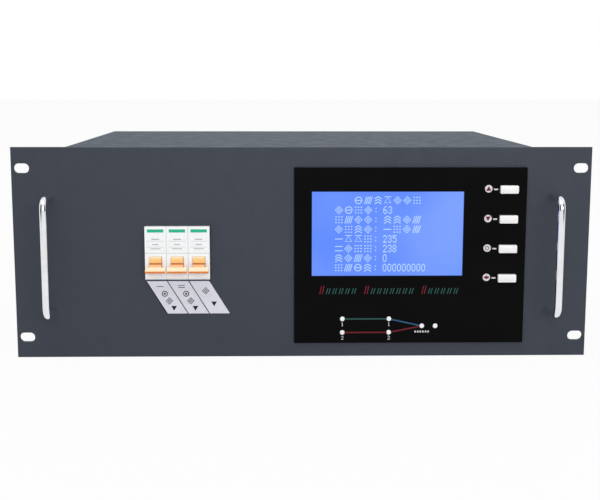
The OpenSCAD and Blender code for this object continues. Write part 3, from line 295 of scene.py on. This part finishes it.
def screen_glow(name):
    """Blue backlight, paler towards the edges of the screen, in loose patches and towards its right side.
    """
    finish = Finish(name, (0.002, 0.004, 0.02, 1), 0.2, specular=0.12)
    split = finish.node("ShaderNodeSeparateXYZ", Vector=finish.place)
    lows = []
    for axis, centre, half in (("X", SCREEN_X, SCREEN_W / 2), ("Z", SCREEN_Z, SCREEN_H / 2)):
        away = finish.node("ShaderNodeMath")
        away.operation = "SUBTRACT"
        finish.put(away, 0, split.outputs[axis])
        away.inputs[1].default_value = centre * MM
        size = finish.tree.nodes.new("ShaderNodeMath")
        size.operation = "ABSOLUTE"
        finish.put(size, 0, away.outputs[0])
        lows.append(finish.remap(size.outputs[0], 0, 1, (half - GLOW_EDGE) * MM, half * MM))
    edge = finish.tree.nodes.new("ShaderNodeMath")
    edge.operation = "MAXIMUM"
    finish.put(edge, 0, lows[0])
    finish.put(edge, 1, lows[1])
    patches = finish.remap(finish.noise(70 * MM, 1), 0, 0.45, 0.35, 0.7)
    right = finish.remap(split.outputs["X"], 0, 0.4, SCREEN_X * MM, (SCREEN_X + SCREEN_W / 2) * MM)
    total = finish.tree.nodes.new("ShaderNodeMath")
    total.operation = "ADD"
    finish.put(total, 0, patches)
    finish.put(total, 1, right)
    inner = finish.mix(total.outputs[0], SCREEN_BLUE, GLOW_TURN)
    glow = finish.mix(edge.outputs[0], inner, SCREEN_EDGE)
    finish.tree.links.new(glow, finish.shader.inputs["Emission Color"])
    finish.set("Emission Strength", 1)
    return finish.material


# ---- Places read from the frame, in millimetres ----

def span(node):
    low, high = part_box(node)
    return low / MM, high / MM


SCREEN_LOW, SCREEN_HIGH = span("lcd_glass")
SCREEN_X = (SCREEN_LOW.x + SCREEN_HIGH.x) / 2
SCREEN_Z = (SCREEN_LOW.z + SCREEN_HIGH.z) / 2
SCREEN_W = SCREEN_HIGH.x - SCREEN_LOW.x
SCREEN_H = SCREEN_HIGH.z - SCREEN_LOW.z
GLOW_EDGE = 7
GLOW_TURN = colour(132, 168, 255)
# Painted light on a lever's drum at rest, from its lowest point up: share of the height, colour. The bands
# pale upward as a painted highlight, with painted shade in the dark line at the stem's step and under the
# slot's top edge.
DRUM_LOW, DRUM_HIGH = -14, 0
DRUM_FADE = 0.8
DRUM_PAINTED_LIGHT = ((0.0, colour(226, 118, 34)), (0.3, colour(248, 150, 56)), (0.42, colour(244, 146, 52)),
              (0.45, colour(150, 70, 20)), (0.49, colour(150, 70, 20)), (0.52, colour(252, 186, 106)),
              (0.9, colour(255, 206, 140)), (0.95, colour(196, 84, 40)))


# ---- Finishes of the CAD nodes ----

def finishes():
    zinc = bright_metal("zinc", ZINC, 0.34)
    black = moulded("black_plastic", BLACK_PLASTIC, 0.45)
    alloy = bright_metal("aluminium", ALLOY, 0.38, (1, 12, 1))
    copper = bright_metal("copper", COPPER, 0.3, (1, 12, 1))
    board = moulded("circuit_board", BOARD_GREEN, 0.32, 0.12)
    paint = powder_coat("cover_paint", COVER_GREY, 0.03)
    lever = lever_plastic("lever_orange")
    case = moulded("case_white", CASE_WHITE, 0.4, 0.012, 0.4)
    key = moulded("key_white", KEY_WHITE, 0.35, 0.012)
    return {
        powder_coat("panel_paint", PANEL_GREY, 0.25): ("front_panel",),
        paint: ("top_cover", "rear_panel", "chassis_tray"),
        bright_metal("chrome", CHROME, 0.07): ("handle_left", "handle_right"),
        zinc: [n for n in NODES if n.endswith(("_screws", "_studs", "_stud"))] + [
            "din_rail", "rail_bracket", "panel_spacers", "board_pillars"],
        gloss_sheet("gloss_black", OVERLAY_BLACK): ("display_overlay",),
        screen_glow("screen"): ("lcd_glass",),
        bright_metal("bezel_steel", colour(40, 41, 44), 0.4): ("lcd_bezel",),
        moulded("white_plastic", CASE_WHITE, 0.5): ("lcd_backlight",),
        key: [n for n in NODES if n.startswith("button_")],
        moulded("lamp_lens", LAMP_WHITE, 0.25, 0.01): ("status_lamps",),
        board: ("lcd_board", "keypad_board", "lamp_board", "control_board"),
        black: ("key_switches", "thyristor_1", "thyristor_2", "thyristor_3", "thyristor_4",
                "current_sensor", "fan_frame_1", "fan_frame_2", "fan_rotor_1", "fan_rotor_2",
                "terminal_block", "serial_socket"),
        case: ("breaker_1", "breaker_2", "breaker_3"),
        lever: [n for n in NODES if n.startswith("breaker_lever_")],
        moulded("label", LABEL_GREY, 0.5, 0.02, 0.3): ("label_strip",),
        alloy: ("heatsink",),
        copper: ("line_bar", "neutral_bar", "input_links"),
        moulded("capacitor_sleeve", colour(40, 58, 104), 0.3): ("board_capacitors",),
        moulded("relay_blue", colour(46, 96, 156), 0.4): ("board_relays",),
        bright_metal("core_steel", colour(112, 114, 118), 0.5, (12, 1, 1)): ("transformer_core",),
        moulded("winding", colour(196, 148, 62), 0.45, 0.1): ("transformer_coil",),
        bright_metal("clamp_brass", ZINC, 0.3): ("terminal_clamps",),
    }


# Radius of a node's outer edges
EDGE_RADIUS = {
    "top_cover": 0.2,
    "display_overlay": 0.15,
    **{f"breaker_{i}": 0.35 for i in (1, 2, 3)},
    **{f"button_{i}": 0.3 for i in (1, 2, 3, 4)},
    **{f"breaker_lever_{i}": 0.3 for i in (1, 2, 3)},
}
EDGE_ANGLE = math.radians(50)


def dress_nodes():
    """Gives every CAD node its finish, and the nodes listed in EDGE_RADIUS the small radius of the real
    part on their outer edges.
    """
    dressed = set()
    for material, names in finishes().items():
        dressed.update(names)
        for name in names:
            slots = NODES[name].data.materials
            slots.clear()
            slots.append(material)
    bare = set(NODES) - dressed
    if bare:
        raise RuntimeError(f"no finish for {bare}")
    for name, width in EDGE_RADIUS.items():
        soften = NODES[name].modifiers.new("edges", "BEVEL")
        soften.width = width * MM
        soften.segments = 2
        soften.limit_method = "ANGLE"
        soften.angle_limit = EDGE_ANGLE
        soften.harden_normals = True


# ---- Floor, light and world ----

FLOOR_HALF = 12
FLOOR_DROP = 0.4 * MM
FLOOR_WHITE = 0.86
FLOOR_GLOW = 0.94
LAMPS = (
    # name, place, point it faces, width, height, watts
    ("key_softbox", (-0.5, -0.9, 2.3), (0, 0.1, 0), 1.6, 1.2, 19),
    ("front_fill", (0.7, -2.6, 0.9), (0, 0, 0), 2.0, 1.4, 27),
    ("back_fill", (0.3, 2.6, 1.5), (0, 0.2, 0), 1.8, 0.8, 6),
)
WORLD_GREY = 0.52
CARD_BLACK = (0.01, 0.01, 0.01, 1)
# Black cards beside the object, which only mirrors see: place, width, height
CARDS = (
    ((-1.0, -0.6, 0.1), 0.9, 1.4),
    ((1.0, -0.6, 0.1), 0.9, 1.4),
)


def make_floor():
    """A pale floor that keeps the shadow and shows as near white."""
    low = CAD_BOX[0]
    mesh = bpy.data.meshes.new("floor")
    z = low[2] - FLOOR_DROP
    corners = ((-1, -1), (1, -1), (1, 1), (-1, 1))
    mesh.from_pydata([(x * FLOOR_HALF, y * FLOOR_HALF, z) for x, y in corners], [], [(0, 1, 2, 3)])
    floor = bpy.data.objects.new("floor", mesh)
    bpy.context.scene.collection.objects.link(floor)
    material = bpy.data.materials.new("floor")
    material.use_nodes = True
    tree = material.node_tree
    shader = tree.nodes["Principled BSDF"]
    shader.inputs["Base Color"].default_value = (FLOOR_WHITE, FLOOR_WHITE, FLOOR_WHITE, 1)
    shader.inputs["Roughness"].default_value = 0.9
    shader.inputs["Specular IOR Level"].default_value = 0.1
    seen = seen_rays(tree)
    glow = tree.nodes.new("ShaderNodeEmission")
    glow.inputs["Strength"].default_value = 1
    share = tree.nodes.new("ShaderNodeMath")
    share.operation = "MULTIPLY"
    tree.links.new(seen, share.inputs[0])
    share.inputs[1].default_value = FLOOR_GLOW
    mixed = tree.nodes.new("ShaderNodeMixShader")
    tree.links.new(share.outputs[0], mixed.inputs[0])
    tree.links.new(shader.outputs[0], mixed.inputs[1])
    tree.links.new(glow.outputs[0], mixed.inputs[2])
    tree.links.new(mixed.outputs[0], tree.nodes["Material Output"].inputs["Surface"])
    mesh.materials.append(material)


def make_cards():
    """Upright black cards that only mirrors see."""
    material = bpy.data.materials.new("card")
    material.use_nodes = True
    shader = material.node_tree.nodes["Principled BSDF"]
    shader.inputs["Base Color"].default_value = CARD_BLACK
    shader.inputs["Specular IOR Level"].default_value = 0
    for i, (place, width, height) in enumerate(CARDS):
        mesh = bpy.data.meshes.new(f"card_{i}")
        w, h = width / 2, height / 2
        mesh.from_pydata([(-w, 0, -h), (w, 0, -h), (w, 0, h), (-w, 0, h)], [], [(0, 1, 2, 3)])
        mesh.materials.append(material)
        card = bpy.data.objects.new(f"card_{i}", mesh)
        card.location = place
        card.rotation_euler = (0, 0, math.atan2(-place[0], place[1]))
        card.visible_camera = False
        card.visible_shadow = False
        card.visible_diffuse = False
        bpy.context.scene.collection.objects.link(card)


def seen_rays(tree):
    """1 for rays from the camera, from a mirror or through glass, and 0 for diffuse light."""
    path = tree.nodes.new("ShaderNodeLightPath")
    total = path.outputs["Is Camera Ray"]
    for name in ("Is Glossy Ray", "Is Transmission Ray"):
        either = tree.nodes.new("ShaderNodeMath")
        either.operation = "MAXIMUM"
        tree.links.new(total, either.inputs[0])
        tree.links.new(path.outputs[name], either.inputs[1])
        total = either.outputs[0]
    return total


def make_world():
    world = bpy.data.worlds.new("studio")
    world.use_nodes = True
    tree = world.node_tree
    tree.nodes.clear()
    white = tree.nodes.new("ShaderNodeBackground")
    white.inputs["Color"].default_value = (1, 1, 1, 1)
    white.inputs["Strength"].default_value = 1
    grey = tree.nodes.new("ShaderNodeBackground")
    grey.inputs["Color"].default_value = (1, 1, 1, 1)
    grey.inputs["Strength"].default_value = WORLD_GREY
    mixed = tree.nodes.new("ShaderNodeMixShader")
    output = tree.nodes.new("ShaderNodeOutputWorld")
    tree.links.new(seen_rays(tree), mixed.inputs[0])
    tree.links.new(grey.outputs[0], mixed.inputs[1])
    tree.links.new(white.outputs[0], mixed.inputs[2])
    tree.links.new(mixed.outputs[0], output.inputs["Surface"])
    bpy.context.scene.world = world


def make_lamps():
    for name, place, target, width, height, watts in LAMPS:
        data = bpy.data.lights.new(name, "AREA")
        data.shape = "RECTANGLE"
        data.size = width
        data.size_y = height
        data.energy = watts
        lamp = bpy.data.objects.new(name, data)
        lamp.location = place
        lamp.rotation_euler = (Vector(target) - Vector(place)).to_track_quat("-Z", "Y").to_euler()
        bpy.context.scene.collection.objects.link(lamp)


# ---- Printed and lit marks: thin closed prisms in front of a plane that faces -Y ----

PRINT_MM = 0.1
DISC_SIDES = 28


class Marks:
    """Flat marks in one ink, drawn across and up in millimetres."""

    def __init__(self, name, plane_mm, material, slot, lift=1):
        self.name = name
        self.back = plane_mm * MM
        self.front = (plane_mm - PRINT_MM * lift) * MM
        self.material = material
        self.slot = slot
        self.mesh = bmesh.new()

    def polygon(self, points):
        rings = [[self.mesh.verts.new((x * MM, y, z * MM)) for x, z in points]
                 for y in (self.front, self.back)]
        self.mesh.faces.new(rings[0])
        self.mesh.faces.new(rings[1][::-1])
        for i in range(len(points)):
            j = (i + 1) % len(points)
            self.mesh.faces.new((rings[0][i], rings[1][i], rings[1][j], rings[0][j]))

    def bar(self, x, z, width, height, lean=0):
        """A bar about its centre, its top shifted to the right by lean."""
        w, h, s = width / 2, height / 2, lean / 2
        self.polygon(((x - w - s, z - h), (x + w - s, z - h), (x + w + s, z + h), (x - w + s, z + h)))

    def line(self, start, end, width):
        a, b = Vector(start), Vector(end)
        side = (b - a).normalized() * (width / 2)
        side = Vector((-side.y, side.x))
        self.polygon([tuple(p) for p in (a - side, b - side, b + side, a + side)])

    def disc(self, x, z, radius, sides=DISC_SIDES, turn=0.0):
        angles = [turn + 2 * math.pi * i / sides for i in range(sides)]
        self.polygon([(x + radius * math.cos(a), z + radius * math.sin(a)) for a in angles])

    def ring(self, x, z, radius, width, sides=12, turn=0.0):
        angles = [turn + 2 * math.pi * i / sides for i in range(sides + 1)]
        spots = [(math.cos(a), math.sin(a)) for a in angles]
        inner, outer = radius - width / 2, radius + width / 2
        for (c, s), (d, t) in zip(spots, spots[1:]):
            self.polygon([(x + inner * c, z + inner * s), (x + outer * c, z + outer * s),
                          (x + outer * d, z + outer * t), (x + inner * d, z + inner * t)])

    def digit(self, figure, x, z, width, height):
        """One figure from a table of five by seven dots, from its lower left corner."""
        step, rise = width / 5, height / 7
        for row, dots in enumerate(DIGITS[figure]):
            for run in runs(dots):
                middle = (run[0] + run[1]) / 2 * step
                self.bar(x + middle, z + (6.5 - row) * rise, (run[1] - run[0]) * step, rise * 0.98)

    def done(self):
        bmesh.ops.recalc_face_normals(self.mesh, faces=self.mesh.faces)
        mesh = bpy.data.meshes.new(self.name)
        self.mesh.to_mesh(mesh)
        self.mesh.free()
        mesh.materials.append(self.material)
        piece = bpy.data.objects.new(self.name, mesh)
        bpy.context.scene.collection.objects.link(piece)
        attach(piece, BODY)


def runs(dots):
    """Start and end of each unbroken run of dots in a row."""
    found, start = [], None
    for i, dot in enumerate(dots + " "):
        if dot == "#" and start is None:
            start = i
        elif dot != "#" and start is not None:
            found.append((start, i))
            start = None
    return found


DIGITS = {
    0: (" ### ", "#   #", "#   #", "#   #", "#   #", "#   #", " ### "),
    1: ("  #  ", " ##  ", "  #  ", "  #  ", "  #  ", "  #  ", " ### "),
    2: (" ### ", "#   #", "    #", "   # ", "  #  ", " #   ", "#####"),
    3: (" ### ", "#   #", "    #", "  ## ", "    #", "#   #", " ### "),
    5: ("#####", "#    ", "#### ", "    #", "    #", "#   #", " ### "),
    6: ("  ## ", " #   ", "#    ", "#### ", "#   #", "#   #", " ### "),
    8: (" ### ", "#   #", "#   #", " ### ", "#   #", "#   #", " ### "),
}

# ---- Readings on the screen ----

CELL = 8.16
ROW_PITCH = 8.15
TEXT_LEFT = 9.9
TEXT_TOP_ROW = 44.5
TILE = 7.3
STROKE = 0.72
LABEL_CELL, COLON_CELL, VALUE_CELL = 2, 6, 7
# A row's label, then its value: T is a patterned tile, - and = are dashes, and figures are themselves
SCREEN_ROWS = (
    ("TTTT", "63"),
    ("TTTT", "TTTT"),
    ("TTTT", "-TTT"),
    ("-TTT", "235"),
    ("=TTT", "238"),
    ("TTTT", "0"),
    ("TTTT", "000000000"),
)
FIGURE_W, FIGURE_H = 3.2, 6.4
FIGURE_INSET = 0.45
DASH_GAP = 0.45
COLON_RISE = 1.4
TITLE_CELL, TITLE_TILES = 4, 7


def tile_shapes(ink, kind, x, z):
    """One of six simple patterns in a square cell about a centre."""
    half = TILE / 2
    if kind == 0:
        ink.ring(x, z, half * 0.85, STROKE, 4)
        ink.ring(x, z, half * 0.35, STROKE, 4)
    elif kind == 1:
        for shift in (-0.62, -0.2, 0.22, 0.64):
            ink.bar(x + shift * half, z, STROKE, TILE * 0.86, half * 0.5)
    elif kind == 2:
        ink.ring(x, z, half * 0.78, STROKE, 12)
        ink.bar(x, z, TILE * 0.6, STROKE, 0)
    elif kind == 3:
        for shift in (-0.6, 0, 0.6):
            ink.line((x - half * 0.8, z + (shift - 0.25) * half), (x, z + (shift + 0.25) * half), STROKE)
            ink.line((x, z + (shift + 0.25) * half), (x + half * 0.8, z + (shift - 0.25) * half), STROKE)
    elif kind == 4:
        for column in (-0.66, 0, 0.66):
            for row in (-0.66, 0, 0.66):
                ink.bar(x + column * half, z + row * half, STROKE * 1.7, STROKE * 1.3)
    else:
        ink.ring(x, z - half * 0.15, half * 0.85, STROKE, 3, math.pi / 2)
        ink.bar(x, z + half * 0.82, TILE * 0.8, STROKE * 0.8)


def screen_text():
    text = Marks("screen_text", SCREEN_LOW.y, lit_print("screen_text", SCREEN_TEXT, 1), "screen")
    choice = random.Random(SEED)
    row_z = [TEXT_TOP_ROW - i * ROW_PITCH for i in range(len(SCREEN_ROWS) + 1)]

    def tile(cell, z):
        tile_shapes(text, choice.randrange(6), TEXT_LEFT + (cell + 0.5) * CELL, z)

    def dashes(cell, z, count):
        for i in range(count):
            rise = (i - (count - 1) / 2) * CELL * DASH_GAP
            text.bar(TEXT_LEFT + (cell + 0.5) * CELL, z + rise, TILE * 0.9, STROKE)

    for i in range(TITLE_TILES):
        tile(TITLE_CELL + i, row_z[0])
    for z, (label, value) in zip(row_z[1:], SCREEN_ROWS):
        for start, words in ((LABEL_CELL, label), (VALUE_CELL, value)):
            for i, mark in enumerate(words):
                if mark == "T":
                    tile(start + i, z)
                elif mark in "-=":
                    dashes(start + i, z, 1 + (mark == "="))
                else:
                    x = TEXT_LEFT + (start + i / 2) * CELL + FIGURE_INSET
                    text.digit(int(mark), x, z - FIGURE_H / 2, FIGURE_W, FIGURE_H)
        for rise in (-COLON_RISE, COLON_RISE):
            text.disc(TEXT_LEFT + (COLON_CELL + 0.3) * CELL, z + rise, STROKE * 0.75, 8)
    text.done()


# ---- Marks on the black overlay ----

WORD_LEFT, WORD_Z, WORD_PITCH = 13.5, -31.1, 5.39
WORD_LENGTHS = (6, 8, 6)
LETTER_W, LETTER_H, LETTER_LEAN, FIRST_H = 0.85, 5.0, 1.5, 7.0
LETTER_GAP = 2.1
ICON_X, ICON_R, ICON_RISE = 155.0, 3.15, 0.5
LEAD_W = 1.2
LEAD_GAP = 1.2
NOTE_W, NOTE_H, NOTE_DROP = 2.0, 3.2, 6.2
OUTPUT_DASHES, OUTPUT_PITCH, OUTPUT_DROP = 6, 2.2, 4.9


def overlay_marks():
    plane = span("display_overlay")[0].y
    pale = Marks("overlay_pale_ink", plane, print_ink("pale_ink", colour(214, 208, 210)), "label")
    red = Marks("overlay_red_ink", plane, print_ink("red_ink", colour(104, 20, 30)), "label", 1.6)
    teal = Marks("overlay_teal_ink", plane, print_ink("teal_ink", colour(34, 78, 72)), "label")
    blue = Marks("overlay_blue_ink", plane, print_ink("blue_ink", colour(38, 84, 118)), "label")
    grey = Marks("overlay_grey_ink", plane, print_ink("grey_ink", colour(128, 124, 130)), "label", 1.6)

    place = 0
    for length in WORD_LENGTHS:
        for i in range(length):
            height = FIRST_H if i == 0 else LETTER_H
            ink = red if i == 0 else teal
            for side in (-0.5, 0.5):
                ink.bar(WORD_LEFT + (place + 0.5) * WORD_PITCH + side * LETTER_GAP,
                        WORD_Z - (FIRST_H - height) / 2, LETTER_W, height, LETTER_LEAN)
            place += 1
        place += 1

    for i in range(4):
        low, high = span(f"button_{i + 1}")
        middle = (low.z + high.z) / 2
        z = middle + ICON_RISE
        pale.disc(ICON_X, z, ICON_R)
        pale.line((ICON_X + ICON_R + LEAD_GAP, middle), (low.x - 0.4, middle), LEAD_W)
        if i < 2:
            red.disc(ICON_X, z - (0.4 if i == 0 else -0.4), 2.5, 3, math.pi / 2 if i == 0 else -math.pi / 2)
        elif i == 2:
            grey.ring(ICON_X, z, 1.5, 0.8, 16)
        else:
            red.disc(ICON_X - 0.5, z, 2.1, 3, math.pi)
            red.bar(ICON_X + 1.2, z, 1.7, 1.6)

    lamps = lamp_places()
    left, middle, output = lamps[0:2], lamps[2:4], lamps[4]
    for row, (first, slope) in enumerate(((teal, blue), (red, red))):
        first.line(left[row], middle[row], LEAD_W)
        slope.line(middle[row], output, LEAD_W)
    for row in (0, 1):
        for spot in (left[row], middle[row]):
            pale.digit(1 + row, spot[0] - NOTE_W / 2, spot[1] - NOTE_DROP, NOTE_W, NOTE_H)
    for i in range(OUTPUT_DASHES):
        x = output[0] + (i - (OUTPUT_DASHES - 1) / 2) * OUTPUT_PITCH
        pale.bar(x, output[1] - OUTPUT_DROP, 1.2, 1.7)
    for ink in (pale, red, teal, blue, grey):
        ink.done()


# Two points of lamp faces that are nearer than this belong to one lamp
LAMP_REACH = 4.5
FACE_DEPTH = 0.02


def lamp_places():
    """Centres of the six lamps: left pair, middle pair, then the two of the output."""
    mesh = NODES["status_lamps"].data
    front = min(v.co.y for v in mesh.vertices) + FACE_DEPTH * MM
    spots = []
    for vertex in mesh.vertices:
        if vertex.co.y > front:
            continue
        x, z = vertex.co.x / MM, vertex.co.z / MM
        for spot in spots:
            if math.hypot(spot[0][0] - x, spot[0][1] - z) < LAMP_REACH:
                spot.append((x, z))
                break
        else:
            spots.append([(x, z)])
    centres = []
    for spot in spots:
        xs, zs = [p[0] for p in spot], [p[1] for p in spot]
        centres.append(((min(xs) + max(xs)) / 2, (min(zs) + max(zs)) / 2))
    centres.sort(key=lambda c: (round(c[0]), -c[1]))
    return centres


# ---- Marks on the breakers and their label ----

CASE_MARKS = (
    # ink, up from the case's middle, width, height
    ("green", 18.9, 13.6, 2.6), ("grey", 11.9, 6.4, 0.9), ("line", 10.3, 14.4, 0.3),
    ("grey", 7.5, 5.0, 0.8), ("line", 5.3, 14.4, 0.3), ("grey", 3.9, 8.4, 0.7),
    ("line", 0.2, 17.4, 0.4),
)
CASE_MIDDLE = 1.0


def breaker_marks():
    plane = span("breaker_1")[0].y
    inks = {
        "green": Marks("case_green_ink", plane, print_ink("green_ink", colour(40, 178, 140)), "label"),
        "grey": Marks("case_grey_ink", plane, print_ink("case_grey_ink", colour(176, 180, 186)), "label"),
        "line": Marks("case_line_ink", plane, print_ink("case_line_ink", colour(196, 200, 204)), "label"),
    }
    for i in range(3):
        low, high = span(f"breaker_{i + 1}")
        x = (low.x + high.x) / 2
        for ink, rise, width, height in CASE_MARKS:
            inks[ink].bar(x, rise + CASE_MIDDLE, width, height)
    for ink in inks.values():
        ink.done()


LABEL_LEAN = 17.2
LABEL_LINE = 0.8
LABEL_STROKE = 0.7
LABEL_COLUMNS = (
    ("dash", "ring", "square", "arrow"),
    ("dashes", "ring", "square", "arrow"),
    ("square", "arrow"),
)


def label_marks():
    low, high = span("label_strip")
    height = high.z - low.z
    lean = LABEL_LEAN
    count = len(LABEL_COLUMNS)
    column = (high.x - low.x - lean) / count
    ink = Marks("label_black_ink", low.y, print_ink("label_ink", colour(24, 24, 30)), "label")
    for i in range(count + 1):
        inset = LABEL_LINE / 2 * ((i == 0) - (i == count))
        x = low.x + i * column + inset
        ink.bar(x + lean / 2, (low.z + high.z) / 2, LABEL_LINE, height, -lean)
    for i, marks in enumerate(LABEL_COLUMNS):
        for j, mark in enumerate(marks):
            share = (j + 0.75) / (len(marks) + 0.5)
            x = low.x + (i + 0.5) * column + share * lean
            z = high.z - share * height
            if mark in ("dash", "dashes"):
                for shift in ((0,) if mark == "dash" else (-0.9, 0.9)):
                    ink.bar(x, z + shift, 5.6, 0.5)
            elif mark == "ring":
                ink.ring(x, z, 2.2, LABEL_STROKE, 14)
                ink.bar(x, z, 1.5, 1.5)
            elif mark == "square":
                ink.ring(x, z, 2.7, LABEL_STROKE, 4)
                ink.ring(x, z, 1.1, LABEL_STROKE, 4)
            else:
                ink.disc(x, z + 0.5, 2.7, 3, -math.pi / 2)
    ink.done()


make_camera()
make_floor()
make_world()
make_lamps()
make_cards()
dress_nodes()
screen_text()
overlay_marks()
breaker_marks()
label_marks()
bpy.context.scene.view_settings.view_transform = "Standard"
